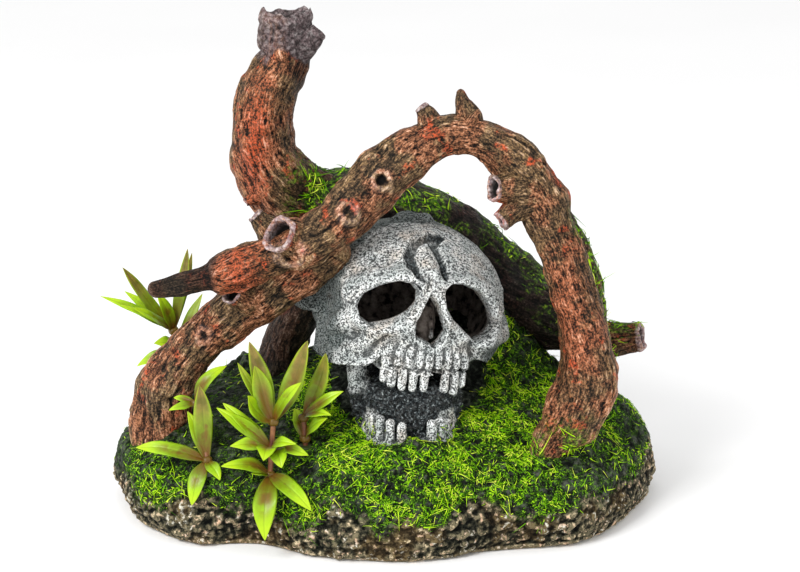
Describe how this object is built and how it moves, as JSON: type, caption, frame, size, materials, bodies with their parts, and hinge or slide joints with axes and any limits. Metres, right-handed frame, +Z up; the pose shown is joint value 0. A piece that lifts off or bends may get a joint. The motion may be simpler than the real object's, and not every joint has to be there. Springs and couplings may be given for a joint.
{
  "type": "aquarium bubbling ornament",
  "caption": "Resin aquarium ornament: a hollow skull among driftwood roots on a mossy rock with plug-in plants; air from a stone under the rock bubbles out of the eyes and nose.",
  "frame": {"origin": "on the flat underside, under the middle of the ornament, just left of the air channel", "axes": "+Z up, +X along the ornament's length to the viewer's right when the skull faces the viewer, +Y away from the viewer towards the air inlet"},
  "size_m": [0.204, 0.126, 0.1748],
  "materials": {
    "mossy_rock": "matte",
    "bone": "matte",
    "driftwood": "matte",
    "clear_tube": "gloss",
    "tube_clip": "satin",
    "silicone": "satin",
    "porous_stone": "matte",
    "plant_foot": "satin",
    "plant_stem": "satin",
    "leaf": "satin"
  },
  "bodies": {
    "ornament": {"rock_left": "mossy_rock", "rock_right": "mossy_rock", "rock_front": "mossy_rock", "rock_rear": "mossy_rock", "skull": "bone", "lower_jaw": "bone", "root_arch": "driftwood", "root_left_leg": "driftwood", "root_stump": "driftwood", "root_back": "driftwood", "root_back_leg": "driftwood", "root_right_prop": "driftwood", "air_pipe": "clear_tube", "pipe_grommet": "silicone", "pipe_saddle": "tube_clip", "coupling_sleeve": "silicone"},
    "air_stone": {"air_stone": "porous_stone", "stone_nipple": "clear_tube"},
    "foot_left": {"plant_left_foot": "plant_foot"},
    "crown_left": {"plant_left_stem": "plant_stem", "plant_left_whorl_1": "leaf", "plant_left_whorl_2": "leaf"},
    "foot_front": {"plant_front_foot": "plant_foot"},
    "crown_front": {"plant_front_stem": "plant_stem", "plant_front_whorl_1": "leaf", "plant_front_whorl_2": "leaf", "plant_front_whorl_3": "leaf"},
    "foot_middle": {"plant_middle_foot": "plant_foot"},
    "crown_middle": {"plant_middle_stem": "plant_stem", "plant_middle_whorl_1": "leaf", "plant_middle_whorl_2": "leaf"},
    "foot_rear": {"plant_rear_foot": "plant_foot"},
    "crown_rear": {"plant_rear_stem": "plant_stem", "plant_rear_whorl_1": "leaf", "plant_rear_whorl_2": "leaf"}
  },
  "joints": [
    {"name": "air_stone_pull", "type": "slide", "parent": "ornament", "child": "air_stone", "axis": [0, -1, 0], "range_m": [0, 0.011]},
    {"name": "plant_left_pull", "type": "slide", "parent": "ornament", "child": "foot_left", "axis": [0, 0, 1], "range_m": [0, 0.009]},
    {"name": "plant_left_turn", "type": "hinge", "parent": "foot_left", "child": "crown_left", "pos_m": [-0.061, -0.036, 0.0252], "axis": [0, 0, 1], "range_deg": [-6, 6]},
    {"name": "plant_front_pull", "type": "slide", "parent": "ornament", "child": "foot_front", "axis": [0, 0, 1], "range_m": [0, 0.009]},
    {"name": "plant_front_turn", "type": "hinge", "parent": "foot_front", "child": "crown_front", "pos_m": [-0.0395, -0.04, 0.0218], "axis": [0, 0, 1], "range_deg": [-6, 6]},
    {"name": "plant_middle_pull", "type": "slide", "parent": "ornament", "child": "foot_middle", "axis": [0, 0, 1], "range_m": [0, 0.009]},
    {"name": "plant_middle_turn", "type": "hinge", "parent": "foot_middle", "child": "crown_middle", "pos_m": [-0.0275, -0.028, 0.031], "axis": [0, 0, 1], "range_deg": [-8, 8]},
    {"name": "plant_rear_pull", "type": "slide", "parent": "ornament", "child": "foot_rear", "axis": [0, 0, 1], "range_m": [0, 0.009]},
    {"name": "plant_rear_turn", "type": "hinge", "parent": "foot_rear", "child": "crown_rear", "pos_m": [-0.073, 0.021, 0.028], "axis": [0, 0, 1], "range_deg": [-6, 6]}
  ]
}
